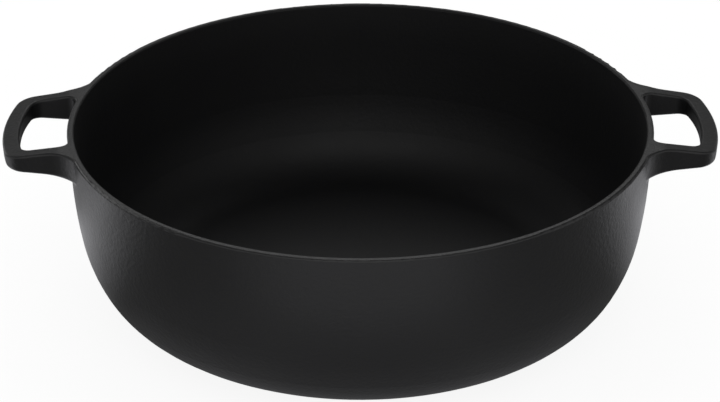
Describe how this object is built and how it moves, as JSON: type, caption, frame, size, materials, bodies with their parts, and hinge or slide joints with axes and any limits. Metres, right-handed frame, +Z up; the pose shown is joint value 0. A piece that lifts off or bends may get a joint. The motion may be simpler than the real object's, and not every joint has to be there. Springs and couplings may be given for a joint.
{
  "type": "dutch oven",
  "caption": "Wide round cast iron cooking pot, shown without its lid, with a loop handle on each side of the rim, for slow cooking on a hob or in an oven.",
  "frame": {"origin": "centre of the flat underside, on the bowl's axis", "axes": "+Z up along the bowl's axis, +X through the middle of the right handle, +Y to the back"},
  "size_m": [0.366, 0.2998, 0.098],
  "materials": {
    "cast_iron": "matte black, fine grain of the casting mould, smoother inside"
  },
  "bodies": {
    "root": {"bowl": "cast_iron", "left_handle": "cast_iron", "right_handle": "cast_iron"}
  },
  "joints": []
}
